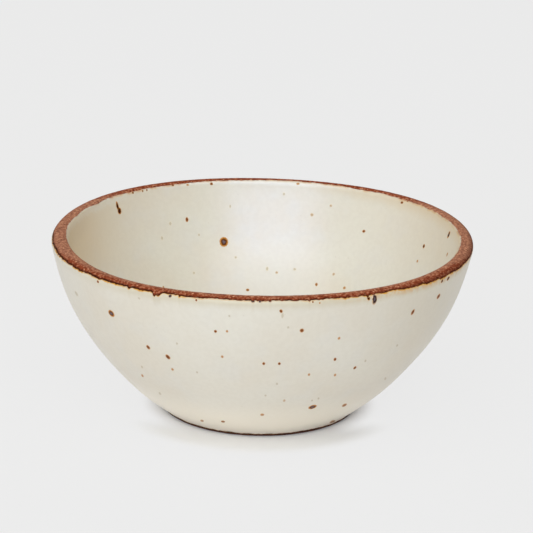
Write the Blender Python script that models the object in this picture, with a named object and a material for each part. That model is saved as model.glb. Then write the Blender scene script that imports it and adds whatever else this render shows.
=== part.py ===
"""Stoneware ice cream bowl: a fired clay body, a coat of glaze inside it and a coat of glaze round it.

Metres, +Z up. The origin is the centre of the ring of bare clay that the bowl stands on.
Every piece is turned: its section is drawn as (radius, height) points and spun about the Z axis.
"""

import math

import bmesh
import bpy

# The whole bowl
RIM_DIAMETER = 0.133  # across the widest part of the lip
HEIGHT = 0.0567  # table to the crest of the lip
FOOT_DIAMETER = 0.059  # where the curve of the finished wall would meet the table
WALL_SWELL = 0.0069  # how far the wall bows out of a straight line from foot to lip

# The clay body
CLAY_WALL = 0.0033
CLAY_FLOOR = 0.0045
FLOOR_CURVE = 0.030  # radius of the turn from the inside floor into the wall
LIP_DROP = 0.0017  # widest part of the lip, below its crest
LIP_ROUND = 0.0027  # crest of the lip, in from its widest part
LIP_INNER_DROP = 0.0012  # where the rounded lip runs into the inside wall, below the crest
LIP_TUCK = 0.0014  # height over which the clay draws in under the lip
FOOT_RING = 0.0060  # width of the ring of clay that stands on the table
FOOT_RECESS = 0.0015  # depth of the hollow inside that ring

# The two coats of glaze
GLAZE = 0.0004
GLAZE_SEAT = 0.0003  # gap that each coat keeps to the clay it is fired on
GLAZE_ROLL = 0.0008  # length of the rounded edge where a coat ends
INSIDE_BARE = 0.0015  # clay left bare inside the lip, down from its crest
FOOT_BARE = 0.0010  # clay left bare round the foot, up from the table

# Facets
SEGMENTS = 64  # round the axis
WALL_STEPS = 9
FLOOR_STEPS = 5
LIP_STEPS = 4
ROLL_STEPS = 3
RECESS_STEPS = 3
MERGE = 1e-6
SHARP_ANGLE = math.radians(35)

# Sizes that follow
RIM_RADIUS = RIM_DIAMETER / 2
FOOT_RADIUS = FOOT_DIAMETER / 2
COAT = GLAZE_SEAT + GLAZE
LIP_SHOULDER = HEIGHT - LIP_DROP
OUTSIDE_LINE = LIP_SHOULDER - LIP_TUCK  # upper edge of the outside glaze
INSIDE_LINE = HEIGHT - INSIDE_BARE  # upper edge of the inside glaze
INSIDE_INSET = COAT + CLAY_WALL  # inside of the clay, in from the finished outside
FLOOR_LEVEL = FOOT_RECESS + CLAY_FLOOR

# Finishes: colour, roughness
CLAY_FINISH = ((0.30, 0.095, 0.050, 1.0), 0.85)
GLAZE_FINISH = ((0.76, 0.72, 0.61, 1.0), 0.38)


def wall_circle():
    """Centre and radius of the one arc that the finished outside follows, from the table to the lip."""
    across = RIM_RADIUS - FOOT_RADIUS
    chord = math.hypot(across, LIP_SHOULDER)
    radius = (chord**2 / 4 + WALL_SWELL**2) / (2 * WALL_SWELL)
    to_centre = radius - WALL_SWELL
    centre_r = (RIM_RADIUS + FOOT_RADIUS) / 2 - to_centre * LIP_SHOULDER / chord
    centre_z = LIP_SHOULDER / 2 + to_centre * across / chord
    return centre_r, centre_z, radius


WALL_R, WALL_Z, WALL_RADIUS = wall_circle()


def arc(centre_r, centre_z, radius_r, radius_z, start, end, steps):
    """Points of a round or oval arc from one angle to another, ends included. Angles start at +R."""
    angles = [start + (end - start) * i / steps for i in range(steps + 1)]
    return [(centre_r + radius_r * math.cos(a), centre_z + radius_z * math.sin(a)) for a in angles]


def wall_angle(inset, height):
    """Angle at the wall's centre of the point that lies this far in from the finished outside, this high."""
    return math.asin((height - WALL_Z) / (WALL_RADIUS - inset))


def wall_point(inset, height):
    radius = WALL_RADIUS - inset
    return WALL_R + radius * math.cos(wall_angle(inset, height)), height


def wall_run(inset, start, end, steps=WALL_STEPS):
    """A stretch of wall this far in from the finished outside, from one height to another."""
    radius = WALL_RADIUS - inset
    return arc(WALL_R, WALL_Z, radius, radius, wall_angle(inset, start), wall_angle(inset, end), steps)


def inside_run(lift, top):
    """The inside of the bowl, this far off the clay: from the axis over the floor and up the wall to a height."""
    turn_radius = FLOOR_CURVE - lift
    turn_z = FLOOR_LEVEL + FLOOR_CURVE
    between_centres = WALL_RADIUS - INSIDE_INSET - FLOOR_CURVE
    turn_r = WALL_R + math.sqrt(between_centres**2 - (WALL_Z - turn_z) ** 2)
    meets_wall = math.atan2(turn_z - WALL_Z, turn_r - WALL_R)
    turn = arc(turn_r, turn_z, turn_radius, turn_radius, -math.pi / 2, meets_wall, FLOOR_STEPS)
    wall = wall_run(INSIDE_INSET + lift, turn[-1][1], top)
    return [(0.0, FLOOR_LEVEL + lift)] + turn + wall[1:]


def glaze_roll(back_inset, face_inset, end, towards):
    """Rounded end of a coat, from its face to its back. Towards is 1 where the coat ends upwards, -1 downwards."""
    points = []
    for i in range(ROLL_STEPS + 1):
        turn = math.pi / 2 * i / ROLL_STEPS
        inset = back_inset + (face_inset - back_inset) * math.cos(turn)
        points.append(wall_point(inset, end - towards * GLAZE_ROLL * (1 - math.sin(turn))))
    return points


def clay_section():
    """From the middle of the inside floor, up over the lip, down the outside and in under the foot."""
    inside = inside_run(0.0, HEIGHT - LIP_INNER_DROP)
    lip_edge = inside[-1][0]
    crest = RIM_RADIUS - LIP_ROUND
    lip_inside = arc(crest, HEIGHT - LIP_INNER_DROP, crest - lip_edge, LIP_INNER_DROP, math.pi, math.pi / 2, LIP_STEPS)
    lip_outside = arc(crest, LIP_SHOULDER, LIP_ROUND, LIP_DROP, math.pi / 2, 0.0, LIP_STEPS)
    outside = wall_run(COAT, OUTSIDE_LINE, 0.0)
    ring_inner = outside[-1][0] - FOOT_RING
    recess = arc(ring_inner - FOOT_RECESS, 0.0, FOOT_RECESS, FOOT_RECESS, 0.0, math.pi / 2, RECESS_STEPS)
    return inside + lip_inside[1:] + lip_outside[1:] + outside + recess + [(0.0, FOOT_RECESS)]


def inside_glaze_section():
    """From the middle of the coat's face, up to its rolled edge at the lip and back down against the clay."""
    face = inside_run(COAT, INSIDE_LINE - GLAZE_ROLL)
    roll = glaze_roll(INSIDE_INSET + GLAZE_SEAT, INSIDE_INSET + COAT, INSIDE_LINE, 1)
    back = inside_run(GLAZE_SEAT, INSIDE_LINE)
    return face + roll[1:] + back[-2::-1]


def outside_glaze_section():
    """Round the coat: down its face from lip to foot, and up its back against the clay."""
    upper_roll = glaze_roll(GLAZE, 0.0, OUTSIDE_LINE, 1)
    lower_roll = glaze_roll(GLAZE, 0.0, FOOT_BARE, -1)
    face = wall_run(0.0, OUTSIDE_LINE - GLAZE_ROLL, FOOT_BARE + GLAZE_ROLL)
    back = wall_run(GLAZE, FOOT_BARE, OUTSIDE_LINE)
    return upper_roll[::-1] + face[1:] + lower_roll[1:] + back[1:-1]


def finish(name, look):
    """A plain Principled material of this colour and roughness."""
    colour, roughness = look
    material = bpy.data.materials.new(name)
    material.use_nodes = True
    shader = material.node_tree.nodes["Principled BSDF"]
    shader.inputs["Base Color"].default_value = colour
    shader.inputs["Roughness"].default_value = roughness
    shader.inputs["Metallic"].default_value = 0.0
    return material


def turned(name, section, material, parent, closed=False):
    """Spins a section about the Z axis into one closed solid. A closed section is a ring clear of the axis."""
    shape = bmesh.new()
    points = [shape.verts.new((radius, 0.0, height)) for radius, height in section]
    following = points[1:] + points[:1] if closed else points[1:]
    edges = [shape.edges.new(pair) for pair in zip(points, following)]
    bmesh.ops.spin(
        shape,
        geom=points + edges,
        cent=(0.0, 0.0, 0.0),
        axis=(0.0, 0.0, 1.0),
        angle=2 * math.pi,
        steps=SEGMENTS,
        use_merge=True,
    )
    bmesh.ops.remove_doubles(shape, verts=shape.verts, dist=MERGE)
    bmesh.ops.recalc_face_normals(shape, faces=shape.faces)
    mesh = bpy.data.meshes.new(name)
    shape.to_mesh(mesh)
    shape.free()
    mesh.shade_smooth()
    mesh.set_sharp_from_angle(angle=SHARP_ANGLE)
    mesh.materials.append(material)
    piece = bpy.data.objects.new(name, mesh)
    piece.parent = parent
    bpy.context.scene.collection.objects.link(piece)
    return piece


def main():
    for thing in list(bpy.data.objects):
        bpy.data.objects.remove(thing)
    clay = finish("bare_stoneware", CLAY_FINISH)
    glaze = finish("cream_glaze", GLAZE_FINISH)
    bowl = bpy.data.objects.new("ice_cream_bowl", None)
    bpy.context.scene.collection.objects.link(bowl)
    turned("stoneware_body", clay_section(), clay, bowl)
    turned("inside_glaze", inside_glaze_section(), glaze, bowl)
    turned("outside_glaze", outside_glaze_section(), glaze, bowl, closed=True)


main()
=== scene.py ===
"""Looks of the ice cream bowl: satin cream glaze with iron specks, on stoneware bare at lip and foot.

The finished surface of the bowl is one section, drawn as (radius, height) and measured along its length from
the middle of the floor, up the inside, over the lip and down the outside to the table. Clay and glaze are
both skins on that section: the clay is flush with it where it is bare and sunk where glaze covers it. Then
the wall is moved a little out of true, as the potter's hand left it.
"""

import math
from functools import partialmethod

import bmesh
import bpy
import numpy as np
from mathutils import Matrix, Vector, noise
from mathutils.bvhtree import BVHTree


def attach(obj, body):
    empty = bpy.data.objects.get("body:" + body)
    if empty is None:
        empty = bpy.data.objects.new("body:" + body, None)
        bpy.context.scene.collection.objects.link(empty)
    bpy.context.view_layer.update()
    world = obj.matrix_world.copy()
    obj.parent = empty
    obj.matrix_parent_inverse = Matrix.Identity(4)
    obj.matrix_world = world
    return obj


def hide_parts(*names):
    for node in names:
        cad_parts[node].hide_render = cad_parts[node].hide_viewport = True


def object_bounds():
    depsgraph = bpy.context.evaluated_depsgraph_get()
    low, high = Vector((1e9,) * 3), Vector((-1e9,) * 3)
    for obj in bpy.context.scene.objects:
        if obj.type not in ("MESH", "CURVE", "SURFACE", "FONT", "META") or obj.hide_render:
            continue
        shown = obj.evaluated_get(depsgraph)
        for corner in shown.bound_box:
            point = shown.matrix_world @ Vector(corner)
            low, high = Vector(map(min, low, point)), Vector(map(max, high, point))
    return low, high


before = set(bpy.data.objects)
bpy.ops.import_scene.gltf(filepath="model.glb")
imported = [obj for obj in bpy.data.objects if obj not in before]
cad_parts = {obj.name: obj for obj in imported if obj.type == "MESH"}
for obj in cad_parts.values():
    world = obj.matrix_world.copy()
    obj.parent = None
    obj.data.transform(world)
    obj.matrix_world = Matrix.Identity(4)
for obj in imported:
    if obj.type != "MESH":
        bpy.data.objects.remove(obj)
cad_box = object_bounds()

MM = 0.001

# Sizes of the solids
RIM_RADIUS = (cad_box[1][0] - cad_box[0][0]) / 2
HEIGHT = cad_box[1][2]
FOOT_RADIUS = 29.5 * MM
WALL_SWELL = 6.9 * MM
WALL = 4.7 * MM  # clay and both coats
FLOOR_TOP = 6.7 * MM
FLOOR_CURVE = 29.3 * MM
LIP_DROP = 1.7 * MM
LIP_ROUND = 2.7 * MM
LIP_INNER_DROP = 1.2 * MM
FOOT_RING = 6.0 * MM
FOOT_RECESS = 1.5 * MM
CREST_RADIUS = RIM_RADIUS - LIP_ROUND

# How the thrown lip strays from round and from level: number of waves, millimetres, first peak in degrees
OUT_OF_ROUND = ((0, 0.20, 0), (1, 0.167, -39), (3, 0.145, -1), (4, 0.295, 42))
OUT_OF_LEVEL = ((0, -0.038, 0), (1, 0.197, 78), (2, 0.097, -46), (3, 0.197, 26))
TRUE_BELOW = 36 * MM  # height up to which those waves have no part

# Where the thrown wall strays from its arc: height, spread, size all round, and what the right has more
WALL_WAVES = (
    (17 * MM, 8 * MM, -0.36 * MM, -0.16 * MM),
    (37 * MM, 8 * MM, 0.22 * MM, 0.06 * MM),
    (6 * MM, 5 * MM, 0.0, -0.24 * MM),
)

# Where the lip is thicker inwards: direction and spread in degrees, and size
THICK_LIP = (-154, 20, 0.85 * MM)
THICK_ABOVE = 46 * MM  # height at which that starts
THICK_RISE = 6 * MM  # how far above that it is full
THICK_INWARD = 1.5 * MM  # how far in from the crest it is full

TOE = 1.1 * MM  # height of the upright edge that the clay stands on

# The photograph's frame and its camera
IMAGE_PIXELS = 533
IMAGE_MIDDLE = 266.0  # a pixel's middle is a whole number
LENS_PIXELS = 2782.0
SENSOR = 36.0
AIM = Vector((0.0, 0.0, 29.55 * MM))
AIM_PIXEL = (259.94, 314.08)
CAMERA_DISTANCE = 886.5 * MM
CAMERA_ELEVATION = math.radians(18.5)
CAMERA_ROLL = math.radians(0.99)
CAMERA_SIDE = Vector((0.0, -math.cos(CAMERA_ELEVATION), math.sin(CAMERA_ELEVATION)))

# Fineness of the skins
FINE_STEP = 0.05 * MM  # along the section
SOFTEN = 0.35 * MM  # how far its corners are rounded
FINE_SEGMENTS = 1440  # round the axis
LINE_SOFTEN = 3  # degrees each way over which a line through pixels is smoothed

# Where each coat of glaze ends at the lip, read from the photograph as (across, down) from left to right
OUTSIDE_LINE_PIXELS = (
    (54.5, 248), (60, 256.3), (72, 265.7), (84, 272), (98, 277.7), (126, 286.2), (150, 291), (174, 294.5),
    (200, 297.3), (230, 299.2), (262, 300.3), (294, 300.1), (322, 298.8), (350, 296.7), (374, 293.6),
    (398, 288.9), (422, 284.6), (438, 278.6), (452, 272.2), (463, 264.1),
)
INSIDE_LINE_PIXELS = (
    (66.1, 228.8), (67.2, 224.7), (70.2, 220.6), (74.2, 216.6), (78.6, 212.6), (84.2, 208.6), (93, 204.6),
    (111.5, 196.4), (140, 189.4), (150, 187.2), (170, 184.5), (200, 181.2), (210, 180.4), (230, 179.9),
    (260, 179.5), (290, 180.2), (320, 183), (350, 187), (362, 189.6), (380, 192.5), (400, 198.2),
    (410, 201.2), (420.8, 204.8), (429.2, 208.8), (437.5, 212.8), (443.7, 216.8),
)
# Bare clay where the photograph hides the line: angle in degrees, distance from the crest along the section
OUTSIDE_BARE = ((60, 4.0 * MM), (120, 4.0 * MM))
INSIDE_BARE = (
    (-178, 1.7 * MM), (-168, 2.1 * MM), (-158, 2.7 * MM), (-146, 2.8 * MM), (-130, 2.3 * MM),
    (-90, 1.8 * MM), (0, 1.2 * MM),
)
FOOT_BARE = 0.85 * MM

# Tongues of bare clay that run down into the outside glaze: across, down, width, depth in pixels
LOBES = (
    (153.6, 293.2, 3, 4.2), (157.4, 293.2, 5.4, 3), (128.3, 287.6, 3, 2), (178.8, 296.4, 2.4, 1.6),
    (252.5, 300.7, 3.2, 1.4), (269.8, 300.7, 2.4, 1), (367.2, 295.6, 2.6, 1.6), (309, 300, 2.2, 1),
    (373.5, 294, 2.2, 1.8),
)

# The skins, measured from the finished surface
GLAZE_DEPTH = 0.25 * MM  # underside of the glaze
CLAY_SINK = 0.30 * MM  # clay under the glaze
EDGE_DIP = 0.06 * MM  # edge of the glaze, below the surface
EDGE_BEAD = 0.08 * MM  # bead along that edge, above it
EDGE_ROLL = 0.45 * MM  # length over which the edge rolls up into the bead

# Specks read from the photograph, by kind: across, down, width and length in pixels, and how many degrees
# a long one leans to the right on its way down
INSIDE_SPECKS = {
    "iron": ((223.3, 241.4, 6.6, 7.6),),
    "burnt": (
        (116.9, 205.6, 1.9, 7.6, 14), (118.9, 210.4, 3, 5.4, 8), (423.3, 245.7, 1.6, 3.4, -14),
        (448.3, 234.2, 1.6, 5.8, -25), (66.9, 242.4, 1.8, 3, 25), (172, 184.6, 2.4, 1.8),
    ),
    "rust": (
        (186.4, 219.1, 2.4, 4), (210.9, 183.4, 2.6, 2.2), (363.3, 230.7, 2.6, 2.4),
        (401.6, 202.1, 2.4, 2.2), (407.4, 200.4, 2.2, 1.6), (132.2, 192.2, 1.8, 2), (142, 190.6, 1.2, 2),
        (146.2, 189.6, 1.2, 1.8),
    ),
    "amber": ((247.1, 289.4, 2.8, 2.2), (315.9, 284, 2.2, 2.8)),
    "ochre": (
        (187.1, 184.4, 2.4, 1.8), (416.9, 260.7, 1.6, 2.4), (343.9, 287.4, 2.6, 2.4),
        (297.5, 183.3, 3, 1.8), (446.7, 254, 1.5, 2.6),
    ),
    "pale": (
        (276.2, 272.1, 2.4, 2.2), (311.4, 214.3, 2.8, 2.8), (330.4, 205.2, 2.2, 2.2),
        (333.2, 273.7, 2.4, 2.4),
    ),
    "faint": (
        (161.5, 237.6, 2, 3.4, 10), (169.8, 223, 2.2, 3.2), (198.5, 234.3, 2, 2.4),
        (193.4, 272.4, 2, 2.4), (266.6, 268.3, 2.4, 3.6), (235.2, 256.8, 2.4, 2.2),
        (229.7, 205.9, 1.6, 3), (283.5, 193.5, 2, 2.6), (294.2, 268.7, 2.6, 2.2),
    ),
}
OUTSIDE_SPECKS = {
    "iron": ((110.9, 313, 3.6, 6.2, 30), (312, 406.5, 6.8, 2.8, 12)),
    "burnt": ((367.8, 297.3, 2.6, 4.8, 22), (447.5, 277.9, 2, 3.2, -8), (441.4, 280.5, 1.8, 2.4)),
    "rust": (
        (147.7, 346.8, 2.4, 4, 25), (167.4, 356.4, 2.8, 4.6, 30), (215, 330.8, 2.4, 2.4),
        (263.2, 363.1, 2.4, 2.4), (278.8, 363.1, 2.4, 2.4), (280.6, 310.6, 2.6, 3.2, 20),
        (195.9, 299.7, 1.8, 2), (301.3, 330, 3.4, 3.2), (334.5, 358.8, 2.4, 2.6),
        (354.4, 367.2, 2.2, 2.6, -15), (412.3, 311.6, 2, 5.4, -25), (438, 295.9, 2, 4.6, -20),
        (312.3, 301.5, 1.6, 1.6), (97.6, 281.2, 1.8, 2.2),
    ),
    "amber": ((222.5, 421.1, 3.2, 1.7, -25), (343.9, 404.7, 4.4, 2, 24), (331.9, 421.2, 5, 1.6, 20)),
    "ochre": (
        (172, 368.9, 2.4, 2.2), (141.9, 375.2, 2.2, 2.2), (226.5, 330.8, 2.2, 2.2),
        (221.7, 356.2, 2.4, 2.4), (201.5, 420.3, 3, 1.7, -25), (261.7, 414.2, 3.4, 2),
        (338.5, 337.8, 2.4, 2.4), (334.5, 374.5, 2.2, 2.4), (308.5, 374.1, 2.2, 2.2),
        (319.2, 302.4, 1.6, 1.6),
    ),
    "pale": ((283.7, 400.1, 2.4, 2.2),),
    "faint": (
        (141.5, 366.5, 2.2, 2.2), (159.4, 393, 2.2, 2.2), (228.8, 315.5, 2, 2), (176.4, 343, 2, 2.2),
        (282, 315, 2.4, 4.6), (287.7, 326.9, 2, 2.2), (276.5, 383.3, 2.2, 2.2), (196.6, 371.8, 2, 2),
        (75.9, 293.2, 2, 4.6, 18), (138.6, 297.7, 2.2, 2.2), (384.8, 378.2, 2, 2.4),
        (364.9, 360.3, 2, 2.2), (396.7, 345, 2, 2.4), (311.5, 400, 1.8, 1.6), (318, 398, 1.8, 1.8),
        (265, 395, 2, 1.8),
    ),
    "blister": (
        (169.9, 295.6, 3, 2.4), (252.3, 300.9, 3.6, 2.6), (259.4, 301.2, 2.6, 1.8),
        (269.6, 300.7, 3.4, 2.2), (373.9, 298.4, 4.2, 9.4, -3),
    ),
}
# How each kind looks: tone from iron to pale tan, strength, amber halo, and swell out of the glaze
SPECK_LOOKS = {
    "iron": (0.0, 1.0, 1.0, 1.0),
    "burnt": (0.2, 1.0, 1.0, 1.0),
    "rust": (0.42, 0.95, 0.8, 1.0),
    "amber": (0.54, 0.90, 0.7, 0.9),
    "ochre": (0.68, 0.80, 0.5, 0.8),
    "pale": (0.84, 0.65, 0.3, 0.7),
    "faint": (1.0, 0.55, 0.1, 0.6),
    "blister": (0.03, 1.0, 0.5, 6.0),
}
CORE_SHARE = 0.62  # how much of a speck's lens its dark middle fills


def colour(red, green, blue):
    """A screen colour, 0 to 255, as the linear colour a socket holds."""
    def linear(value):
        value /= 255
        return value / 12.92 if value <= 0.04045 else ((value + 0.055) / 1.055) ** 2.4
    return linear(red), linear(green), linear(blue), 1.0


def smooth(value):
    """0 up to 0 and 1 from 1 on, eased between."""
    value = np.clip(value, 0.0, 1.0)
    return value * value * (3 - 2 * value)


def add_object(name, data):
    made = bpy.data.objects.new(name, data)
    bpy.context.scene.collection.objects.link(made)
    return made


def set_mark(mesh, name, values):
    """Gives every point of a mesh a number or a vector under this name."""
    values = np.array(values, dtype=np.float32)
    kind, key = ("FLOAT", "value") if values.ndim == 1 else ("FLOAT_VECTOR", "vector")
    mesh.attributes.new(name, kind, "POINT").data.foreach_set(key, values.ravel())


# The section

def wall_circle():
    """Centre and radius of the arc that the outside follows from the table to the lip."""
    shoulder = HEIGHT - LIP_DROP
    across = RIM_RADIUS - FOOT_RADIUS
    chord = math.hypot(across, shoulder)
    radius = (chord**2 / 4 + WALL_SWELL**2) / (2 * WALL_SWELL)
    to_centre = radius - WALL_SWELL
    centre_r = (RIM_RADIUS + FOOT_RADIUS) / 2 - to_centre * shoulder / chord
    return centre_r, shoulder / 2 + to_centre * across / chord, radius


WALL_R, WALL_Z, WALL_RADIUS = wall_circle()


def wall_angle(inset, height):
    """Angle at that arc's centre of the point this far in from it, at a height."""
    return math.asin((height - WALL_Z) / (WALL_RADIUS - inset))


def wall_radius(inset, height):
    return WALL_R + (WALL_RADIUS - inset) * math.cos(wall_angle(inset, height))


def straight(start, end):
    return np.linspace(start, end, 2 + int(math.dist(start, end) / FINE_STEP))


def arc(centre_r, centre_z, radius_r, radius_z, start, end):
    """Points of a round or oval arc from one angle to another, ends included."""
    count = 2 + int(abs(end - start) * max(radius_r, radius_z) / FINE_STEP)
    turn = np.linspace(start, end, count)
    return np.column_stack((centre_r + radius_r * np.cos(turn), centre_z + radius_z * np.sin(turn)))


class Section:
    """The finished surface, from the middle of the floor over the lip to the table."""

    def __init__(self):
        inner = WALL_RADIUS - WALL
        turn_z = FLOOR_TOP + FLOOR_CURVE
        turn_r = WALL_R + math.sqrt((inner - FLOOR_CURVE) ** 2 - (WALL_Z - turn_z) ** 2)
        meets_wall = math.atan2(turn_z - WALL_Z, turn_r - WALL_R)
        lip_foot = HEIGHT - LIP_INNER_DROP
        lip_inside = CREST_RADIUS - wall_radius(WALL, lip_foot)
        shoulder = HEIGHT - LIP_DROP
        toe_r = wall_radius(0, TOE)
        parts = (
            straight((0.0, FLOOR_TOP), (turn_r, FLOOR_TOP)),
            arc(turn_r, turn_z, FLOOR_CURVE, FLOOR_CURVE, -math.pi / 2, meets_wall),
            arc(WALL_R, WALL_Z, inner, inner, meets_wall, wall_angle(WALL, lip_foot)),
            arc(CREST_RADIUS, lip_foot, lip_inside, LIP_INNER_DROP, math.pi, math.pi / 2),
            arc(CREST_RADIUS, shoulder, LIP_ROUND, LIP_DROP, math.pi / 2, 0.0),
            arc(WALL_R, WALL_Z, WALL_RADIUS, WALL_RADIUS, wall_angle(0, shoulder), wall_angle(0, TOE)),
            straight((toe_r, TOE), (toe_r, 0.0)),
        )
        points = np.concatenate([parts[0]] + [part[1:] for part in parts[1:]])
        along = np.concatenate(([0.0], np.cumsum(np.hypot(*np.diff(points, axis=0).T))))
        self.along = np.arange(0.0, along[-1], FINE_STEP)
        points = np.column_stack([np.interp(self.along, along, points[:, i]) for i in (0, 1)])
        points = self.softened(points)
        slope = np.gradient(points, axis=0)
        slope /= np.hypot(*slope.T)[:, None]
        self.r, self.z = points.T
        self.rows = (self.r, self.z, -slope[:, 1], slope[:, 0])
        self.crest = self.along[np.argmax(self.z)]
        self.end = self.along[-1]

    def softened(self, points):
        """Takes the corners off, and keeps the two ends where they are."""
        reach = int(3 * SOFTEN / FINE_STEP)
        weight = np.exp(-0.5 * (np.arange(-reach, reach + 1) * FINE_STEP / SOFTEN) ** 2)
        weight /= weight.sum()
        padded = np.pad(points, ((reach, reach), (0, 0)), "reflect", reflect_type="odd")
        return np.column_stack([np.convolve(padded[:, i], weight, mode="valid") for i in (0, 1)])

    def at(self, along, lift):
        """Radius and height at a distance along the section, lifted off it."""
        r, z, out, up = (np.interp(along, self.along, row) for row in self.rows)
        return r + lift * out, z + lift * up

    def nearest(self, r, z):
        """Distance along the section of the point nearest to this radius and height."""
        return self.along[np.argmin((self.r - r) ** 2 + (self.z - z) ** 2)]


section = Section()


# Turned skins

ANGLES = 2 * np.pi * np.arange(FINE_SEGMENTS) / FINE_SEGMENTS


def ripple(rows, turn):
    return sum(size * MM * np.cos(count * (turn - math.radians(first))) for count, size, first in rows)


def strays(turn, r, z):
    """How far out, and how far up, the thrown wall lies from its true place."""
    lip = smooth((z - TRUE_BELOW) / (HEIGHT - TRUE_BELOW))
    wall = sum(
        (size + more * np.cos(turn)) * np.exp(-(((z - height) / spread) ** 2))
        for height, spread, size, more in WALL_WAVES
    )
    where, spread, size = THICK_LIP
    aside = np.angle(np.exp(1j * (turn - math.radians(where)))) / math.radians(spread)
    inside = smooth((CREST_RADIUS - r) / THICK_INWARD) * smooth((z - THICK_ABOVE) / THICK_RISE)
    out = ripple(OUT_OF_ROUND, turn) * lip + wall - size * np.exp(-(aside**2)) * inside
    return out, ripple(OUT_OF_LEVEL, turn) * lip


class Skin:
    """Rings of points about the Z axis, joined into one closed mesh.

    A ring has as many points as the one before it, or twice as many, or half.
    """

    def __init__(self):
        self.rings = []
        self.marks = []

    def ring(self, r, z, edge, every=1, outward=0.0):
        """Adds a ring of every so many points. Its sizes and marks may vary round it.

        The marks are millimetres: from the glaze's edge, and outward from the crest along the section.
        """
        turn = ANGLES[::every]
        given = (r, z, edge, outward)
        r, z, edge, outward = (np.broadcast_to(value, FINE_SEGMENTS)[::every] for value in given)
        out, up = strays(turn, r, z)
        self.rings.append(np.column_stack(((r + out) * np.cos(turn), (r + out) * np.sin(turn), z + up)))
        self.marks.append(np.column_stack((edge, outward)))

    def follow(self, along, lift, edge, every=1):
        """Adds a ring that lies on the section."""
        along = np.broadcast_to(along, FINE_SEGMENTS)
        r, z = section.at(along, lift)
        self.ring(r, z, edge, every, (along - section.crest) / MM)

    def settle(self, line, start, end):
        """Adds rings of a coat's face that run with a ragged line at first, and then level."""
        level = line.mean()
        for along in np.linspace(start, end, FACE_RINGS):
            away = abs(along - level)
            stray = (line - level) * (1 - smooth(away / LEVEL_AFTER))
            self.follow(along + stray, 0.0, away / MM, 2)

    def pole(self, height, edge):
        """Adds a point on the axis."""
        self.rings.append(np.array([[0.0, 0.0, height]]))
        self.marks.append(np.array([[edge, 0.0]]))

    def faces_between(self, first, second, a, b):
        """Faces between a ring of a points from index first and the next, of b points from index second."""
        if a < b:
            return [face[::-1] for face in self.faces_between(second, first, b, a)]
        if b == 1:
            return [(first + j, first + (j + 1) % a, second) for j in range(a)]
        if a == b:
            near = [(first + j, first + (j + 1) % a) for j in range(a)]
            return [(i, k, k + second - first, i + second - first) for i, k in near]
        faces = []
        for j in range(b):
            start, middle, end = first + 2 * j, first + 2 * j + 1, first + (2 * j + 2) % a
            here, there = second + j, second + (j + 1) % b
            faces += [(start, middle, here), (middle, end, there), (middle, there, here)]
        return faces

    def mesh(self, name, closed=False):
        counts = [len(ring) for ring in self.rings]
        starts = np.cumsum([0] + counts).tolist()
        order = list(range(len(counts))) + [0] * closed
        faces = []
        for i, k in zip(order, order[1:]):
            faces += self.faces_between(starts[i], starts[k], counts[i], counts[k])
        made = bpy.data.meshes.new(name)
        made.from_pydata(np.concatenate(self.rings).tolist(), [], faces)
        shape = bmesh.new()
        shape.from_mesh(made)
        bmesh.ops.recalc_face_normals(shape, faces=shape.faces)
        shape.to_mesh(made)
        shape.free()
        for title, values in zip(("edge", "outward"), np.concatenate(self.marks).T):
            set_mark(made, title, values)
        made.shade_smooth()
        return made


# The camera

def add_camera():
    """Adds the camera whose picture shows the aim at its own pixel, and gives back its place as a matrix."""
    level = Vector((1.0, 0.0, 0.0))
    upright = CAMERA_SIDE.cross(level)
    right = level * math.cos(CAMERA_ROLL) + upright * math.sin(CAMERA_ROLL)
    up = upright * math.cos(CAMERA_ROLL) - level * math.sin(CAMERA_ROLL)
    across = (IMAGE_MIDDLE - AIM_PIXEL[0]) / LENS_PIXELS
    down = (IMAGE_MIDDLE - AIM_PIXEL[1]) / LENS_PIXELS
    back = (CAMERA_SIDE - right * across + up * down).normalized()
    right = up.cross(back).normalized()
    place = Matrix((right, back.cross(right), back)).transposed().to_4x4()
    place.translation = AIM + CAMERA_SIDE * CAMERA_DISTANCE
    data = bpy.data.cameras.new("camera")
    data.sensor_width = SENSOR
    data.lens = LENS_PIXELS / IMAGE_PIXELS * SENSOR
    data.clip_start = 0.05
    camera = add_object("camera", data)
    camera.matrix_world = place
    bpy.context.scene.camera = camera
    return place


camera_place = add_camera()
CAMERA_EYE = camera_place.translation.copy()


def sight(pixel):
    """Direction in which the camera sees a pixel."""
    x = (pixel[0] - IMAGE_MIDDLE) / LENS_PIXELS
    y = (IMAGE_MIDDLE - pixel[1]) / LENS_PIXELS
    return (camera_place.to_3x3() @ Vector((x, y, -1.0))).normalized()


BLANK_SEGMENTS = 256
BLANK_STEP = 0.4 * MM
LOOK_FROM = 0.2 * MM  # how far off the surface a look towards the camera starts


def blank_tree():
    """The finished surface with no detail, on which the photograph's pixels are found."""
    along = np.append(np.arange(0.0, section.end, BLANK_STEP), section.end)
    r, z = section.at(along, 0.0)
    turn, z = np.meshgrid(2 * np.pi * np.arange(BLANK_SEGMENTS) / BLANK_SEGMENTS, z)
    out, up = strays(turn, r[:, None], z)
    r = r[:, None] + out
    points = np.stack((r * np.cos(turn), r * np.sin(turn), z + up), -1)
    sides = [(j, (j + 1) % BLANK_SEGMENTS) for j in range(BLANK_SEGMENTS)]
    rings = [(k * BLANK_SEGMENTS, (k + 1) * BLANK_SEGMENTS) for k in range(len(along) - 1)]
    faces = [(near + j, near + k, far + k, far + j) for near, far in rings for j, k in sides]
    return BVHTree.FromPolygons(points.reshape(-1, 3).tolist(), faces)


blank = blank_tree()


def seen(pixel):
    """The point of the bowl that a pixel shows, and the normal there."""
    return blank.ray_cast(CAMERA_EYE, sight(pixel))[:2]


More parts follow.
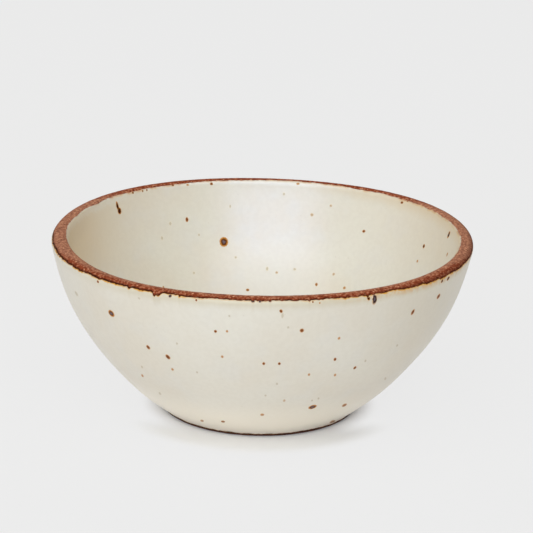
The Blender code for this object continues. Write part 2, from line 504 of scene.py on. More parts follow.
def hidden(point, normal):
    """Whether the bowl itself keeps the camera from seeing a point."""
    towards = CAMERA_EYE - point
    if normal.dot(towards) <= 0:
        return True
    return blank.ray_cast(point + normal * LOOK_FROM, towards.normalized())[0] is not None


def place_of(pixel):
    """Angle about the axis and distance along the section of the point that a pixel shows."""
    point = seen(pixel)[0]
    turn = math.atan2(point.y, point.x)
    r = math.hypot(point.x, point.y)
    out, up = strays(turn, r, point.z)
    return turn, section.nearest(r - out, point.z - up)


# Where the glaze ends

def ragged(seed, slowest, fastest, size):
    """A line that wanders by about this much round the bowl, from slow waves to fine ones."""
    draw = np.random.default_rng(seed)
    waves = np.arange(slowest, fastest)
    weight = waves**-0.75
    phase = draw.uniform(0, 2 * np.pi, len(waves))
    line = (weight * np.cos(np.outer(ANGLES, waves) + phase)).sum(axis=1)
    return size * line / line.std()


def line_through(pixels, guesses):
    """Distance along the section, round the bowl, of a line through pixels and through guessed places."""
    places = [place_of(pixel) for pixel in pixels]
    places += [(math.radians(turn), along) for turn, along in guesses]
    turn, along = np.array(places).T
    line = np.interp(ANGLES, turn, along, period=2 * np.pi)
    reach = FINE_SEGMENTS * LINE_SOFTEN // 360
    weight = np.hanning(2 * reach + 1)
    return np.convolve(np.pad(line, reach, "wrap"), weight / weight.sum(), mode="valid")


def lobes():
    """How far tongues of bare clay push the outside line down, round the bowl."""
    pushed = np.zeros(FINE_SEGMENTS)
    for across, down, width, depth in LOBES:
        turn, along = place_of((across, down))
        side = place_of((across + 1, down))[0]
        below = place_of((across, down + 1))[1]
        distance = np.angle(np.exp(1j * (ANGLES - turn))) / (abs(side - turn) * width / 2)
        pushed += depth * abs(below - along) * np.exp(-distance**4)
    return pushed


outside_guesses = [(turn, section.crest + bare) for turn, bare in OUTSIDE_BARE]
inside_guesses = [(turn, section.crest - bare) for turn, bare in INSIDE_BARE]
OUTSIDE_LINE = line_through(OUTSIDE_LINE_PIXELS, outside_guesses) + lobes()
OUTSIDE_LINE += ragged(11, 24, 420, 0.11 * MM)
INSIDE_LINE = line_through(INSIDE_LINE_PIXELS, inside_guesses)
INSIDE_LINE += ragged(12, 20, 300, 0.08 * MM)
FOOT_LINE = section.end - FOOT_BARE + ragged(13, 7, 160, 0.08 * MM)


# Materials

def feed(node, sockets):
    """Links fields to a node's inputs and sets its other inputs to plain values. A list is several links."""
    for name, value in sockets.items():
        for given in value if isinstance(value, list) else [value]:
            if isinstance(given, Field):
                node.id_data.links.new(given.socket, node.inputs[name])
            else:
                node.inputs[name].default_value = given


class Field:
    """A socket of a node tree. Sums on fields add Math nodes, and node() adds a node of any other kind."""

    def __init__(self, tree, socket=None):
        self.tree = tree
        self.socket = socket

    def node(self, kind, sockets=None, out=0, **settings):
        made = self.tree.nodes.new(kind)
        for name, value in settings.items():
            setattr(made, name, value)
        feed(made, sockets or {})
        return Field(self.tree, made.outputs[out])

    def beside(self, out):
        """Another output of the node that this field comes from."""
        return Field(self.tree, self.socket.node.outputs[out])

    def math(self, operation, other=0.0):
        return self.node("ShaderNodeMath", {0: self, 1: other}, operation=operation)

    __add__ = partialmethod(math, "ADD")
    __sub__ = partialmethod(math, "SUBTRACT")
    __mul__ = partialmethod(math, "MULTIPLY")
    __truediv__ = partialmethod(math, "DIVIDE")
    __pow__ = partialmethod(math, "POWER")

    def __rsub__(self, other):
        return self.node("ShaderNodeMath", {0: other, 1: self}, operation="SUBTRACT")

    def fade(self, start, end):
        """0 before start and 1 after end, eased between. Start may be above end."""
        sockets = {"Value": self, "From Min": start, "From Max": end}
        return self.node("ShaderNodeMapRange", sockets, interpolation_type="SMOOTHSTEP")


def new_material(name):
    """A material, its shader, and the place on the piece in millimetres as a field of its tree."""
    material = bpy.data.materials.new(name)
    material.use_nodes = True
    metres = Field(material.node_tree).node("ShaderNodeTexCoord", out="Object")
    place = metres.node("ShaderNodeVectorMath", {0: metres, "Scale": 1 / MM}, operation="SCALE")
    return material, material.node_tree.nodes["Principled BSDF"], place


def axes(place):
    """The three coordinates of a place."""
    x = place.node("ShaderNodeSeparateXYZ", {"Vector": place})
    return x, x.beside("Y"), x.beside("Z")


def mark(place, name):
    """A number that the mesh carries at its points."""
    return place.node("ShaderNodeAttribute", out="Fac", attribute_name=name)


def blend(factor, first, second):
    """One colour over another."""
    sockets = {0: factor, 6: first, 7: second}
    return factor.node("ShaderNodeMix", sockets, out=2, data_type="RGBA", clamp_factor=True)


def ramp(factor, stops):
    """A colour that runs through stops, each a position and a shade."""
    made = factor.node("ShaderNodeValToRGB", {"Fac": factor})
    elements = made.socket.node.color_ramp.elements
    while len(elements) < len(stops):
        elements.new(1.0)
    for element, (position, shade) in zip(elements, stops):
        element.position = position
        element.color = shade
    return made


def grain(place, size, detail=2.0, roughness=0.5):
    """Soft noise whose blotches are about this many millimetres, from 0 to 1."""
    sockets = {"Vector": place, "Scale": 1 / size, "Detail": detail, "Roughness": roughness}
    return place.node("ShaderNodeTexNoise", sockets)


def dots(place, spacing, shift, share, radius):
    """Round freckles in this share of the cells of a loose grid: 1 in the middle of one and 0 outside."""
    shifted = place.node("ShaderNodeVectorMath", {0: place, 1: (shift, shift, shift)}, operation="ADD")
    cells = {"Vector": shifted, "Scale": 1 / spacing, "Randomness": 1.0}
    distance = place.node("ShaderNodeTexVoronoi", cells, out="Distance")
    lot = place.node("ShaderNodeSeparateColor", {"Color": distance.beside("Color")})
    size = lot.beside(1) * 0.6 + 0.4
    return (distance * spacing / size).fade(radius, radius * 0.35) * lot.fade(share + 0.01, share)


def bump(height, strength, depth):
    """A normal that follows a height, whose full depth is in millimetres."""
    sockets = {"Strength": strength, "Distance": depth * MM, "Height": height}
    return height.node("ShaderNodeBump", sockets)


# Plain glaze: its main tone, and the warmer and the cooler one that it drifts to. Both sets are one glaze:
# the outside's is darker as painted shade, the inside's lighter as painted light
OUTSIDE_SHADED_CREAM = colour(227, 219, 204), colour(225, 215, 198), colour(224, 217, 205)
INSIDE_LIT_CREAM = colour(238, 231, 213), colour(236, 225, 204), colour(235, 229, 216)
# pale glaze pooled at the foot, made paler as painted light
POOLED_CREAM_AND_PAINTED_LIGHT = colour(248, 237, 218)
# tan near the lip, and painted shade on the inner sides
TAN_CREAM_AND_PAINTED_SHADE = colour(228, 202, 158)
# tan of thin glaze, also used as painted shade
EDGE_CREAM_AND_PAINTED_SHADE = colour(205, 190, 160)
# painted shade: tan
PAINTED_SHADE_TAN = colour(186, 160, 122)
# painted shade: deeper cream
PAINTED_SHADE_DEEP = colour(214, 206, 190)
FRECKLE = colour(176, 158, 128)
FRINGE_AMBER = colour(216, 154, 54)
FRINGE_DARK = colour(104, 44, 16)
FRINGE_BROWN = colour(150, 104, 66)
# paler clay, also painted light on top of the lip
PALE_STONEWARE_AND_PAINTED_LIGHT = colour(168, 109, 84)
CLAY_RED = colour(142, 62, 33)
CLAY_PALE = colour(232, 170, 130)
CLAY_DARK = colour(64, 26, 16)
CLAY_BURNT = colour(62, 22, 6)
# painted shade: near-black clay at the foot
FOOT_PAINTED_SHADE = colour(46, 30, 23)
SPECK_TONES = (
    (0.0, colour(112, 100, 104)),
    (0.1, colour(54, 40, 42)),
    (0.2, colour(66, 26, 8)),
    (0.42, colour(118, 58, 22)),
    (0.7, colour(186, 128, 62)),
    (1.0, colour(188, 174, 146)),
)
SPECK_RIM = colour(96, 48, 22)
BLISTER_RIM = colour(56, 30, 22)
HALO_AMBER = colour(206, 138, 54)


def cream(place, shades):
    """Plain glaze: cream with slow drifts of tone, faint freckles and a fine mottle."""
    plain, warm, cool = shades
    tone = blend(grain(place, 26).fade(0.35, 0.7), plain, warm)
    tone = blend(grain(place, 9).fade(0.45, 0.8) * 0.6, tone, cool)
    faint = dots(place, 3.1, 310, 0.55, 0.34) * 0.16
    fine = dots(place, 1.3, 720, 0.30, 0.13) * 0.25
    mottle = grain(place, 1.5).fade(0.35, 0.65) * 0.05
    return blend(faint + fine + mottle, tone, FRECKLE)


def fringed(place, edge, tone):
    """Amber, then brown, where the glaze thins out at its edge: widest on the near right, faint in front."""
    x, y, _ = axes(place)
    aside = x.math("ABSOLUTE").fade(12, 30) * 0.6 + 0.4
    near_right = x.fade(15, 45) * y.fade(-10, -35)
    wander = edge + (grain(place, 0.7, 3.0) - 0.5) * 0.35
    stain = grain(place, 1.8, 3.0).fade(0.35, 0.62)
    tone = blend(wander.fade(2.4, 0.4) * near_right * stain * 0.5, tone, FRINGE_AMBER)
    width = grain(place, 3.2).fade(0.40, 0.66) * 0.30 + 0.36
    broken = grain(place, 1.4).fade(0.36, 0.56) * 0.6 + 0.4
    tone = blend((wander / width).fade(1.05, 0.50) * aside * broken, tone, FRINGE_AMBER)
    return blend(wander.fade(0.16, 0.0) * aside * 0.8, tone, FRINGE_DARK)


def satin(shader, place, tone, gloss):
    """The surface that plain glaze and specks share."""
    skin = grain(place, 1.2, 1.0) * 0.12 + grain(place, 6.0, 1.0)
    feed(shader, {
        "Base Color": tone,
        "Roughness": grain(place, 2.4, 3.0) * 0.08 + 0.29,
        "Normal": bump(skin, 0.35, 0.03),
        "Specular IOR Level": gloss,
    })


def outside_glaze_material():
    """Glaze that is thin and a little tan under the lip, with painted shade there too, painted shade making
    it tan towards the right, and pale at the foot as pooled glaze and painted light.
    """
    material, shader, place = new_material("cream_glaze_outside")
    edge = mark(place, "edge")
    x, _, z = axes(place)
    # thin glaze under the lip, with painted shade under its overhang
    thin = edge.fade(4.0, 0.2) * (x.fade(-62, -30) * 0.45 + 0.25)
    # painted shade: tan towards the right side
    right = x.fade(22, 60) * 0.22
    tone = blend(thin.math("MAXIMUM", right), cream(place, OUTSIDE_SHADED_CREAM), EDGE_CREAM_AND_PAINTED_SHADE)
    # pale towards the foot: pooled glaze and painted light
    tone = blend(z.fade(20, 4), tone, POOLED_CREAM_AND_PAINTED_LIGHT)
    satin(shader, place, fringed(place, edge, tone), 0.5)
    return material


def inside_glaze_material():
    """The same glaze, tan near the lip on the right, amber and brown along the edge. Painted shade makes it
    tan round the two sides, mottled near the edge on the left, with a tan strip on the far left and darker
    low in the middle.
    """
    material, shader, place = new_material("cream_glaze_inside")
    edge = mark(place, "edge")
    x, y, z = axes(place)
    mottled = (edge + (grain(place, 1.1, 3.0, 0.6) - 0.5) * 3.0).fade(1.4, 3.2)
    leftmost = y.fade(-44, -8) * 0.75 + 0.25
    # painted shade: tan on the left inner wall, mottled near the edge
    left = x.fade(-34, -62) * (mottled * 0.35 + y.fade(34, 2) * 0.30 + 0.34) * edge.fade(38, 8) * leftmost
    # painted shade: tan on the right inner wall near the rim
    right = x.fade(25, 60) * edge.fade(28, 4) * 0.30
    lip = edge.fade(5.0, 0.5) * x.fade(10, 34) * 0.4
    # painted shade: darker low in the middle of the inside
    middle = x.math("ABSOLUTE").fade(30, 10) * z.fade(34, 22)
    tone = blend(middle * 0.3, cream(place, INSIDE_LIT_CREAM), PAINTED_SHADE_DEEP)
    tone = blend(left + right + lip, tone, TAN_CREAM_AND_PAINTED_SHADE)
    # painted shade: a tan strip below the edge on the far left
    painted_shade_strip = edge.fade(0.8, 2.2) * edge.fade(9.0, 5.0) * x.fade(-54, -60)
    tone = blend(painted_shade_strip * leftmost * 0.15, tone, PAINTED_SHADE_TAN)
    wander = edge + (grain(place, 1.0, 3.0) - 0.5) * 0.5
    patches = grain(place, 5.0).fade(0.42, 0.60) * x.fade(-58, -46)
    tone = blend(wander.fade(1.0, 0.25) * patches * 0.55, tone, FRINGE_AMBER)
    tone = blend(wander.fade(0.40, 0.05) * 0.6, tone, FRINGE_BROWN)
    satin(shader, place, tone, 1.0)
    feed(shader, {"IOR": 1.65, "Specular Tint": (0.68, 0.75, 1.0, 1.0)})
    return material


def speck_material(name, shades):
    """A ragged middle, a brown rim round the darkest ones, and an amber halo that melts into the cream."""
    material, shader, place = new_material(name)
    reach = mark(place, "reach") + (grain(place, 0.5, 3.0) - 0.5) * 0.55
    strength = mark(place, "strength")
    kind = mark(place, "tone")
    rim = blend(kind.fade(0.0, 0.03), SPECK_RIM, BLISTER_RIM)
    core = blend(reach.fade(0.12, 0.42) * kind.fade(0.15, 0.05), ramp(kind, SPECK_TONES), rim)
    halo = reach.fade(1.0, 0.68) * mark(place, "halo") * strength
    tone = blend(halo, cream(place, shades), HALO_AMBER)
    satin(shader, place, blend(reach.fade(0.72, 0.46) * strength, tone, core), 0.06)
    return material


def clay_material():
    """Bare iron-bearing stoneware: sandy and burnt along the glaze, redder round the outside of the lip and
    paler on the crest, partly its own tone and partly painted light, with the foot and underside darkened as
    painted shade.
    """
    material, shader, place = new_material("bare_stoneware")
    x, y, z = axes(place)
    outward = mark(place, "outward")
    sand = grain(place, 0.8, 4.0, 0.65)
    aside = x.math("ABSOLUTE").fade(38, 62) * y.fade(-36, -14)
    # redder on the outer side, paler on the crest: partly the clay's tone, partly painted light
    redness_and_painted_light = outward + (grain(place, 2.5, 3.0) - 0.5) * 1.4 - aside * 2.6 + y.fade(10, 50) * 2.8
    dry = 1.0 - outward.fade(0.6, 2.2) * 0.32
    tone = blend(redness_and_painted_light.fade(1.5, -1.0), CLAY_RED, PALE_STONEWARE_AND_PAINTED_LIGHT)
    tone = blend(sand.fade(0.49, 0.64) * dry * 0.55, tone, CLAY_PALE)
    tone = blend(sand.fade(0.48, 0.34) * 0.65, tone, CLAY_DARK)
    tone = blend(dots(place, 1.3, 180, 0.55, 0.42) * dry * 0.85, tone, CLAY_PALE)
    tone = blend(dots(place, 1.6, 530, 0.50, 0.44) * 0.9, tone, CLAY_DARK)
    tone = blend(outward.fade(0.8, 2.4) * x.fade(28, 52) * 0.35, tone, CLAY_DARK)
    burnt = mark(place, "edge") + (grain(place, 0.9, 3.0) - 0.5) * 0.8
    broken = grain(place, 1.8).fade(0.38, 0.60) * 0.5 + 0.4 + x.fade(-15, -45) * 0.4
    tone = blend(burnt.fade(0.95, 0.20) * outward.fade(0.5, 1.5) * broken, tone, CLAY_BURNT)
    # painted shade: the foot and underside darkened
    tone = blend(z.fade(4, 2) * 0.8, tone, FOOT_PAINTED_SHADE)
    feed(shader, {
        "Base Color": tone,
        "Roughness": sand * 0.2 + 0.68,
        "Normal": bump(sand, 0.6, 0.06),
        "Specular IOR Level": 0.08,
    })
    return material


# Glaze and clay

LIP_RINGS = np.array([0.0, 0.05, 0.1, 0.16, 0.24, 0.34, 0.46, 0.6, 0.8, 1.05, 1.4, 1.9, 2.6, 3.6]) * MM
UNDER_RINGS = (0.12, 0.25, 0.4, 0.6)  # clay that runs in under the edge of the glaze, in millimetres
LEVEL_AFTER = 10 * MM  # from here on the rings are level, whatever the edge does
FACE_RINGS = 40
BEAD_RUN = 4 * MM  # length over which the bead along the edge runs out
CLAY_SINKS = 0.5 * MM  # length over which the clay sinks under the glaze
BURIED = -1.0  # mark of points that lie under a skin
FINE_GRIT = (0.5 * MM, 0.025 * MM)  # grain of the bare clay: size and depth
COARSE_GRIT = (2.2 * MM, 0.03 * MM)
FOOT_GRIT = (0.6 * MM, 0.03 * MM)
GRIT_FROM = 0.4 * MM  # how far from the glaze it is full
UNSEEN_FROM = 1.5  # millimetres from the glaze's edge at which seeded specks may start


def glaze_lift(distance):
    """Height of the glaze's face over the finished surface, this far from its edge: a small rounded bead."""
    rolled = np.sqrt(1 - (1 - np.minimum(distance / EDGE_ROLL, 1.0)) ** 2)
    return (EDGE_DIP + EDGE_BEAD) * rolled - EDGE_DIP - EDGE_BEAD * smooth(distance / BEAD_RUN - 0.1)


def clay_lift(distance):
    """Height of the clay under the glaze, this far in from its edge."""
    return -CLAY_SINK * smooth(distance / CLAY_SINKS)


def outside_glaze_mesh():
    skin = Skin()
    level = OUTSIDE_LINE.mean()
    foot_level = FOOT_LINE.mean()
    for distance in LIP_RINGS:
        skin.follow(OUTSIDE_LINE + distance, glaze_lift(distance), distance / MM)
    skin.settle(OUTSIDE_LINE, level + 6 * MM, foot_level - 4 * MM)
    for distance in LIP_RINGS[-2::-1]:
        skin.follow(FOOT_LINE - distance, glaze_lift(distance), distance / MM, 2)
    skin.follow(FOOT_LINE - 0.1 * MM, -GLAZE_DEPTH, BURIED, 2)
    for along in np.linspace(foot_level - 2 * MM, level + 5 * MM, 12):
        skin.follow(along, -GLAZE_DEPTH, BURIED, 4)
    skin.follow(OUTSIDE_LINE + 1.0 * MM, -GLAZE_DEPTH, BURIED, 2)
    skin.follow(OUTSIDE_LINE + 0.1 * MM, -GLAZE_DEPTH, BURIED)
    return skin.mesh("outside_glaze_skin", closed=True)


def inside_under(skin, depth):
    """The underside of the inside glaze, or the clay that it covers, from the axis up to the lip."""
    skin.pole(FLOOR_TOP - depth, BURIED)
    for along, every in ((4, 16), (12, 16), (18, 8), (22, 8), (26, 8), (30, 8), (34, 8), (37, 8)):
        skin.follow(along * MM, -depth, BURIED, every)
    for along in np.linspace(40 * MM, INSIDE_LINE.mean() - 6 * MM, 10):
        skin.follow(along, -depth, BURIED, 4)
    skin.follow(INSIDE_LINE - 2.0 * MM, -depth, BURIED, 2)


def inside_glaze_mesh():
    skin = Skin()
    level = INSIDE_LINE.mean()
    inside_under(skin, GLAZE_DEPTH)
    skin.follow(INSIDE_LINE - 0.1 * MM, -GLAZE_DEPTH, BURIED)
    for distance in LIP_RINGS:
        skin.follow(INSIDE_LINE - distance, glaze_lift(distance), distance / MM)
    skin.settle(INSIDE_LINE, level - 6 * MM, 30 * MM)
    for along, every in ((27, 4), (23, 4), (19, 4), (15, 8), (11, 8), (7, 16), (3.5, 16)):
        skin.follow(along * MM, 0.0, level / MM - along, every)
    skin.pole(FLOOR_TOP, level / MM)
    return skin.mesh("inside_glaze_skin")


def grit(r, z, size, depth):
    """Sandy unevenness of the bare clay round one ring."""
    places = np.column_stack((r * np.cos(ANGLES), r * np.sin(ANGLES), z))
    return depth * np.array([noise.noise(Vector(place) / size) for place in places])


def bare_lip(skin):
    """The clay from one glaze edge over the crest to the other, with a short run under each."""
    for distance in UNDER_RINGS[::-1]:
        skin.follow(INSIDE_LINE - distance * MM, clay_lift(distance * MM), 0.0)
    for share in np.linspace(0, 1, 34):
        along = INSIDE_LINE + (OUTSIDE_LINE - INSIDE_LINE) * share
        bare = np.minimum(along - INSIDE_LINE, OUTSIDE_LINE - along)
        r, z = section.at(along, 0.0)
        lift = grit(r, z, *FINE_GRIT) + grit(r, z, *COARSE_GRIT)
        skin.follow(along, lift * smooth(bare / GRIT_FROM), bare / MM)
    for distance in UNDER_RINGS:
        skin.follow(OUTSIDE_LINE + distance * MM, clay_lift(distance * MM), 0.0)


def bare_foot(skin):
    """The clay from the lower glaze edge to the table, and the ring and the hollow under the bowl."""
    for share in np.linspace(0, 0.88, 7):
        r, z = section.at(FOOT_LINE + (section.end - FOOT_LINE) * share, -CLAY_SINK)
        skin.ring(r + grit(r, z, *FOOT_GRIT), z, share * FOOT_BARE / MM, 2)
    outer = section.r[-1] - CLAY_SINK
    inner = outer - FOOT_RING
    for r in np.linspace(outer - 0.25 * MM, inner + 0.3 * MM, 6):
        skin.ring(r, 0.0, 2.0, 2)
    for turn in np.linspace(0.1, math.pi / 2, 5):
        skin.ring(inner - FOOT_RECESS * (1 - math.cos(turn)), FOOT_RECESS * math.sin(turn), 3.0, 2)
    for r, every in ((18, 4), (15, 4), (11, 8), (7, 16), (3.5, 16)):
        skin.ring(r * MM, FOOT_RECESS + 0.02 * MM * math.sin(r), 4.0, every)
    skin.pole(FOOT_RECESS, 4.0)


def clay_mesh():
    skin = Skin()
    inside_under(skin, CLAY_SINK)
    bare_lip(skin)
    skin.follow(OUTSIDE_LINE + 2.0 * MM, -CLAY_SINK, BURIED, 2)
    for along in np.linspace(OUTSIDE_LINE.mean() + 6 * MM, FOOT_LINE.mean() - 3 * MM, 10):
        skin.follow(along, -CLAY_SINK, BURIED, 4)
    skin.follow(FOOT_LINE - 0.8 * MM, -CLAY_SINK, BURIED, 2)
    bare_foot(skin)
    return skin.mesh("stoneware_skin")


def mark_unseen(mesh):
    """Marks the points of a glaze's face that the photograph doesn't show, clear of its edges."""
    edge = np.zeros(len(mesh.vertices), dtype=np.float32)
    mesh.attributes["edge"].data.foreach_get("value", edge)
    places = zip(edge > UNSEEN_FROM, mesh.vertices)
    set_mark(mesh, "unseen", [clear and hidden(point.co, point.normal) for clear, point in places])
    return mesh


def piece(name, mesh, material, node):
    """Puts a mesh in the scene as a piece of the bowl, which may stand for a CAD node."""
    mesh.materials.append(material)
    made = add_object(name, mesh)
    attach(made, "root")
    if node:
        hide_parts(node)
    return made


def add_coats():
    """The two coats of glaze and the clay. Gives back the coats, outside and inside."""
    skin, finish = mark_unseen(outside_glaze_mesh()), outside_glaze_material()
    outside = piece("outside_glaze_fired", skin, finish, "outside_glaze")
    skin, finish = mark_unseen(inside_glaze_mesh()), inside_glaze_material()
    inside = piece("inside_glaze_fired", skin, finish, "inside_glaze")
    piece("stoneware_body_fired", clay_mesh(), clay_material(), "stoneware_body")
    return outside, inside


# Iron specks

LENS_SIDES = 12
LENS_TOP = ((0.4, 0.026 * MM), (0.75, 0.016 * MM), (1.0, -0.030 * MM))  # reach and rise
LENS_MIDDLE = 0.030 * MM
LENS_UNDER = -0.060 * MM


def lens_object():
    """A flat round disc with a face on each side, whose marks say how far each point rises off the glaze."""
    marks = [(0.0, LENS_MIDDLE), (0.0, LENS_UNDER)] + [row for row in LENS_TOP for _ in range(LENS_SIDES)]
    turns = [0.0, 0.0] + [2 * math.pi * i / LENS_SIDES for i in range(LENS_SIDES)] * len(LENS_TOP)
    reaches, rises = zip(*marks)
    points = [(reach * math.cos(turn), reach * math.sin(turn), 0.0) for reach, turn in zip(reaches, turns)]
    first, last = 2, len(points) - LENS_SIDES
    faces = []
    for i in range(LENS_SIDES):
        k = (i + 1) % LENS_SIDES
        faces += [(0, first + i, first + k), (1, last + k, last + i)]
        for near in range(first, last, LENS_SIDES):
            far = near + LENS_SIDES
            faces.append((near + i, far + i, far + k, near + k))
    mesh = bpy.data.meshes.new("speck_lens")
    mesh.from_pydata(points, [], faces)
    set_mark(mesh, "reach", reaches)
    set_mark(mesh, "rise", rises)
    mesh.shade_smooth()
    return add_object("speck_lens", mesh)


def speck_place(across, down, width, length, lean=0):
    """Point on the bowl, turn and spread of a lens that shows as a speck of this size in the photograph."""
    point, normal = seen((across, down))
    normal = normal if normal.dot(CAMERA_EYE - point) > 0 else -normal

    def reach(size, lean):
        """From the middle of the lens to its edge, on the plane that touches the bowl there."""
        half, lean = size / 2 / CORE_SHARE, math.radians(lean)
        towards = sight((across + half * math.sin(lean), down + half * math.cos(lean)))
        return CAMERA_EYE + towards * ((point - CAMERA_EYE).dot(normal) / towards.dot(normal)) - point

    side, end = reach(width, lean + 90), reach(length, lean)
    y_axis = end.normalized()
    x_axis = y_axis.cross(normal)
    turn = Matrix((x_axis, y_axis, normal)).transposed().to_euler()
    return tuple(point), tuple(turn), (abs(side.dot(x_axis)), end.length, 1.0)


def speck_points(name, specks):
    """A mesh of loose points, one for each speck, that carries how the speck lies and looks."""
    points, turns, spreads = zip(*(speck_place(*row) for rows in specks.values() for row in rows))
    mesh = bpy.data.meshes.new(name)
    mesh.from_pydata(points, [], [])
    looks = zip(*(SPECK_LOOKS[kind] for kind, rows in specks.items() for _ in rows))
    titles = ("turn", "spread", "tone", "strength", "halo", "swell")
    for title, values in zip(titles, (turns, spreads, *looks)):
        set_mark(mesh, title, values)
    return mesh


def speck_tree():
    """Geometry nodes that lay a lens on the glaze at each given point, and at random where it is unseen."""
    tree = bpy.data.node_groups.new("iron_specks", "GeometryNodeTree")
    kinds = {
        "Geometry": "Geometry", "Lens": "Object", "Glaze": "Object", "Finish": "Material", "Seed": "Int",
        "Per square metre": "Float", "Apart": "Float", "Smallest": "Float", "Largest": "Float",
    }
    keys = {
        name: tree.interface.new_socket(name, in_out="INPUT", socket_type="NodeSocket" + kind).identifier
        for name, kind in kinds.items()
    }
    tree.interface.new_socket("Geometry", in_out="OUTPUT", socket_type="NodeSocketGeometry")
    given = Field(tree).node("NodeGroupInput", out="Geometry")

    def add(kind, sockets=None, **settings):
        return given.node("GeometryNode" + kind, sockets, **settings)

    def attribute(name, kind="FLOAT"):
        return add("InputNamedAttribute", {"Name": name}, data_type=kind)

    def chance(step):
        seed = given.beside("Seed") + step
        return given.node("FunctionNodeRandomValue", {2: 0.0, 3: 1.0, 8: seed}, data_type="FLOAT", out=1)

    def thing(name):
        sockets = {"Object": given.beside(name)}
        return add("ObjectInfo", sockets, out="Geometry", transform_space="RELATIVE")

    lens, glaze_shape = thing("Lens"), thing("Glaze")
    turn = given.node("FunctionNodeEulerToRotation", {0: attribute("turn", "FLOAT_VECTOR")})
    spread = attribute("spread", "FLOAT_VECTOR")
    read = add("InstanceOnPoints", {"Points": given, "Instance": lens, "Rotation": turn, "Scale": spread})

    strewn = add("DistributePointsOnFaces", {
        "Mesh": glaze_shape,
        "Distance Min": given.beside("Apart"),
        "Density Max": given.beside("Per square metre"),
        "Density Factor": attribute("unseen"),
        "Seed": given.beside("Seed"),
    }, distribute_method="POISSON")
    lie = strewn.beside("Rotation")
    smallest = given.beside("Smallest")
    size = smallest + (given.beside("Largest") - smallest) * chance(1) ** 4.0
    spread = given.node("ShaderNodeCombineXYZ", {"X": size, "Y": size * (chance(2) * 0.6 + 0.9), "Z": 1.0})
    looks = {
        "tone": 1.0 - chance(3) ** 1.5,
        "strength": chance(4) * 0.4 + 0.55,
        "halo": chance(5) * 0.6,
        "swell": 1.0,
    }
    for name, value in looks.items():
        sockets = {"Geometry": strewn, "Name": name, "Value": value}
        strewn = add("StoreNamedAttribute", sockets, data_type="FLOAT", domain="POINT")
    strewn = add("InstanceOnPoints", {"Points": strewn, "Instance": lens, "Rotation": lie, "Scale": spread})

    both = add("JoinGeometry", {"Geometry": [read, strewn]})
    solid = add("RealizeInstances", {"Geometry": both})
    nearest = add("Proximity", {0: glaze_shape}, target_element="FACES")
    sockets = {"Mesh": glaze_shape, "Value": add("InputNormal")}
    out_of = add("SampleNearestSurface", sockets, data_type="FLOAT_VECTOR")
    rise = attribute("rise") * attribute("swell")
    lift = given.node("ShaderNodeVectorMath", {0: out_of, "Scale": rise}, operation="SCALE")
    place = given.node("ShaderNodeVectorMath", {0: nearest, 1: lift}, operation="ADD")
    laid = add("SetPosition", {"Geometry": solid, "Position": place})
    done = add("SetMaterial", {"Geometry": laid, "Material": given.beside("Finish")})
    feed(tree.nodes.new("NodeGroupOutput"), {0: done})
    return tree, keys


def add_specks(name, specks, shades, coat, seed, tree, keys, lens):
    """Lays the specks on one coat of glaze, as a piece of plain mesh."""
    finish = speck_material(name, shades)
    holder = add_object(name, speck_points(name, specks))
    laying = holder.modifiers.new("specks", "NODES")
    laying.node_group = tree
    settings = {
        "Lens": lens, "Glaze": coat, "Finish": finish, "Per square metre": 6000.0, "Apart": 2.5 * MM,
        "Smallest": 0.35 * MM, "Largest": 1.6 * MM, "Seed": seed,
    }
    for title, value in settings.items():
        laying[keys[title]] = value
    graph = bpy.context.evaluated_depsgraph_get()
    laid = holder.evaluated_get(graph)
    mesh = bpy.data.meshes.new_from_object(laid, preserve_all_data_layers=True, depsgraph=graph)
    bpy.data.objects.remove(holder)
    mesh.materials.clear()
    piece(name, mesh, finish, None)


def add_all_specks(outside, inside):
    tree, keys = speck_tree()
    lens = lens_object()
    add_specks("iron_specks_outside", OUTSIDE_SPECKS, OUTSIDE_SHADED_CREAM, outside, 5, tree, keys, lens)
    add_specks("iron_specks_inside", INSIDE_SPECKS, INSIDE_LIT_CREAM, inside, 8, tree, keys, lens)
    bpy.data.objects.remove(lens)


# Studio

FLOOR_GLOW = 0.93
FLOOR_HALF = 4.0
BACKDROP_WHITE = (0.84, 0.84, 0.84, 1.0)
LAMP_AIM = Vector((0.0, 0.0, 30 * MM))


def softbox(name, turn, rise, away, width, height, power, shade):
    """A large lamp that faces the bowl: turn to the right of the camera and rise, in degrees."""
    data = bpy.data.lights.new(name, "AREA")
    data.shape = "RECTANGLE"
    data.size = width
    data.size_y = height
    data.energy = power
    data.color = shade
    lamp = add_object(name, data)
    turn, rise = math.radians(turn), math.radians(rise)
    level = away * math.cos(rise)
    lamp.location = (level * math.sin(turn), -level * math.cos(turn), away * math.sin(rise))
    lamp.rotation_euler = (LAMP_AIM - lamp.location).to_track_quat("-Z", "Y").to_euler()


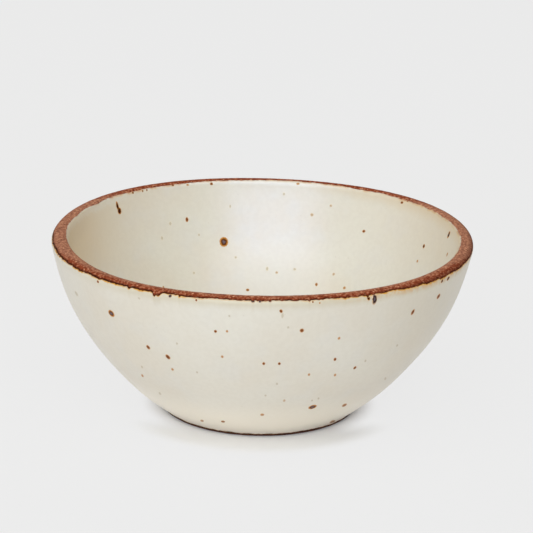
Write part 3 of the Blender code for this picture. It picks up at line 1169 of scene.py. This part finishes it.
def add_floor():
    """A pale floor that camera and gloss see with the shadow at part strength, white as a studio sweep."""
    material, shader, place = new_material("pale_floor")
    feed(shader, {"Base Color": colour(248, 247, 246), "Roughness": 0.7, "Specular IOR Level": 0.1})
    glow = place.node("ShaderNodeEmission", {"Color": BACKDROP_WHITE})
    lit = Field(place.tree, shader.outputs[0])
    clear = place.node("ShaderNodeVectorMath", {0: place}, operation="LENGTH", out="Value")
    front = axes(place)[1].fade(-16, -32) * clear.fade(48, 39)
    foot = FOOT_RADIUS / MM
    lifted = clear.fade(foot - 1, foot + 9) * (1.0 - front * 0.9)
    camera = place.node("ShaderNodeLightPath", out="Is Camera Ray")
    gloss = camera.beside("Is Glossy Ray").math("MAXIMUM", camera.beside("Is Transmission Ray"))
    share = camera.math("MAXIMUM", gloss) * lifted * FLOOR_GLOW
    look = place.node("ShaderNodeMixShader", {0: share, 1: lit, 2: glow})
    feed(material.node_tree.nodes["Material Output"], {"Surface": look})
    corners = [(x * FLOOR_HALF, y * FLOOR_HALF, 0.0) for x, y in ((-1, -1), (1, -1), (1, 1), (-1, 1))]
    mesh = bpy.data.meshes.new("floor")
    mesh.from_pydata(corners, [], [(0, 1, 2, 3)])
    mesh.materials.append(material)
    add_object("floor", mesh)


def add_world():
    """Soft light from all round, in front of which the camera sees a plain white backdrop."""
    world = bpy.data.worlds.new("studio")
    world.use_nodes = True
    nodes = world.node_tree.nodes
    feed(nodes["Background"], {"Color": (1.0, 0.98, 0.94, 1.0), "Strength": 0.20})
    sky = Field(world.node_tree, nodes["Background"].outputs[0])
    white = sky.node("ShaderNodeBackground", {"Color": BACKDROP_WHITE})
    camera = sky.node("ShaderNodeLightPath", out="Is Camera Ray")
    shown = sky.node("ShaderNodeMixShader", {0: camera, 1: sky, 2: white})
    feed(nodes["World Output"], {"Surface": shown})
    bpy.context.scene.world = world


def add_studio():
    add_floor()
    add_world()
    softbox("key", -8, 25, 1.40, 1.45, 1.05, 11.4, (0.75, 0.85, 1.0))
    softbox("overhead", -8, 66, 1.60, 2.20, 1.50, 14.9, (0.99, 1.0, 0.92))
    softbox("left_fill", -80, 20, 1.40, 1.40, 1.00, 2.1, (1.0, 0.96, 0.88))
    softbox("right_fill", 80, 20, 1.40, 1.40, 1.00, 0.5, (1.0, 0.96, 0.88))
    softbox("back_fill", 180, 40, 1.40, 1.40, 1.20, 2.8, (1.0, 1.0, 1.0))
    bpy.context.scene.view_settings.view_transform = "Standard"


add_all_specks(*add_coats())
add_studio()
